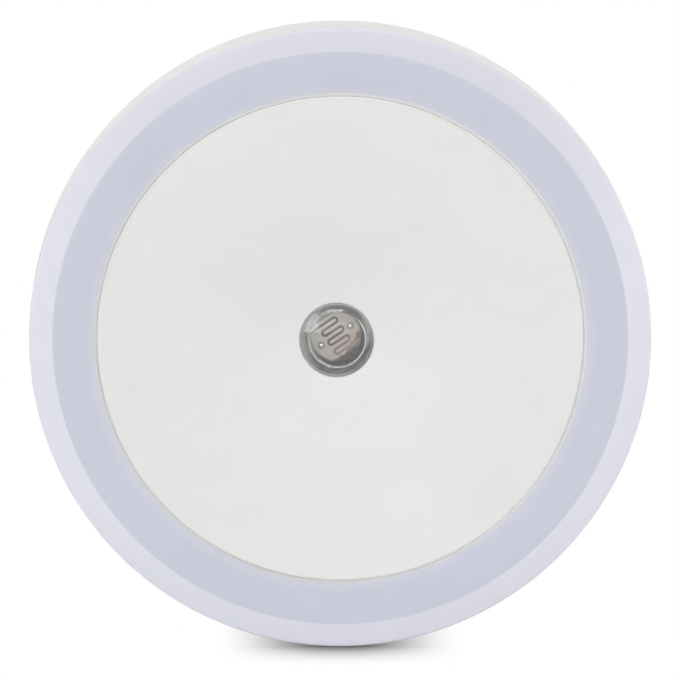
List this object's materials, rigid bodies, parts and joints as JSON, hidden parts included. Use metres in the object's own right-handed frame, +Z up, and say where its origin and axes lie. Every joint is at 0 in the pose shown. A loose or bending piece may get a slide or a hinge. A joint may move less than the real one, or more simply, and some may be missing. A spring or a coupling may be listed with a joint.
{
  "type": "plug-in night light",
  "caption": "Round plug-in night light: frosted ring diffuser, opaque front disc with a light sensor behind a clear window, rear housing and a flat plug.",
  "frame": {"origin": "centre of the plug's engagement face, midway between the two pins", "axes": "the lit front faces -Y and the pins point along +Y; +X is to the right seen from the front and +Z is up"},
  "size_m": [0.063, 0.0572, 0.063],
  "materials": {
    "housing_plastic": "opaque off-white, fine satin moulding",
    "disc_plastic": "opaque off-white, smooth satin",
    "diffuser_plastic": "frosted translucent, cool white",
    "window_plastic": "clear, polished",
    "grey_plastic": "opaque dark grey moulding",
    "cell_ceramic": "unglazed ceramic, light tan",
    "cell_film": "thin evaporated metal film",
    "cell_track": "sintered light-sensitive track, brown",
    "clear_resin": "clear protective resin",
    "pin_metal": "turned brass, nickel plated",
    "pin_sleeve_plastic": "black insulating sleeve",
    "screw_steel": "zinc plated",
    "brown_insulation": "wire insulation, brown",
    "blue_insulation": "wire insulation, blue",
    "tinned_wire": "tinned copper",
    "solder": "soft solder",
    "board_laminate": "white solder mask on glass laminate",
    "led_package": "white reflector package",
    "led_phosphor": "phosphor in silicone",
    "capacitor_epoxy": "dipped epoxy, brown red",
    "can_aluminium": "bright drawn can",
    "can_sleeve": "shrunk sleeve, dark blue",
    "bung_rubber": "black rubber",
    "fuse_lacquer": "flameproof lacquer, grey green",
    "bleed_lacquer": "lacquer, tan, with colour bands",
    "package_epoxy": "moulded epoxy, black",
    "diode_glass": "glass body, orange",
    "adhesive": "transfer adhesive film"
  },
  "bodies": {
    "root": {"rear_housing": "housing_plastic", "plug_body": "housing_plastic", "plug_screws": "screw_steel", "plug_pin_left": "pin_metal", "plug_pin_right": "pin_metal", "pin_sleeve_left": "pin_sleeve_plastic", "pin_sleeve_right": "pin_sleeve_plastic", "live_wire": "brown_insulation", "neutral_wire": "blue_insulation", "wire_ends": "tinned_wire", "circuit_board": "board_laminate", "board_screws": "screw_steel", "led_1": "led_package", "led_2": "led_package", "led_3": "led_package", "led_4": "led_package", "led_5": "led_package", "led_6": "led_package", "led_phosphors": "led_phosphor", "film_capacitor": "capacitor_epoxy", "film_capacitor_leads": "tinned_wire", "electrolytic_can": "can_aluminium", "electrolytic_sleeve": "can_sleeve", "electrolytic_bung": "bung_rubber", "electrolytic_leads": "tinned_wire", "fuse_resistor": "fuse_lacquer", "fuse_resistor_leads": "tinned_wire", "bleed_resistor": "bleed_lacquer", "bleed_resistor_leads": "tinned_wire", "bridge_rectifier": "package_epoxy", "bridge_rectifier_legs": "tinned_wire", "transistor": "package_epoxy", "transistor_legs": "tinned_wire", "zener_diode": "diode_glass", "zener_caps": "tinned_wire", "chip_resistors": "package_epoxy", "chip_resistor_ends": "tinned_wire", "solder_joints": "solder", "photocell_body": "cell_ceramic", "photocell_electrodes": "cell_film", "photocell_track": "cell_track", "photocell_coating": "clear_resin", "photocell_leads": "tinned_wire", "sensor_sleeve": "grey_plastic", "sensor_window": "window_plastic", "diffuser": "diffuser_plastic", "front_disc": "disc_plastic", "disc_adhesive": "adhesive"}
  },
  "joints": []
}
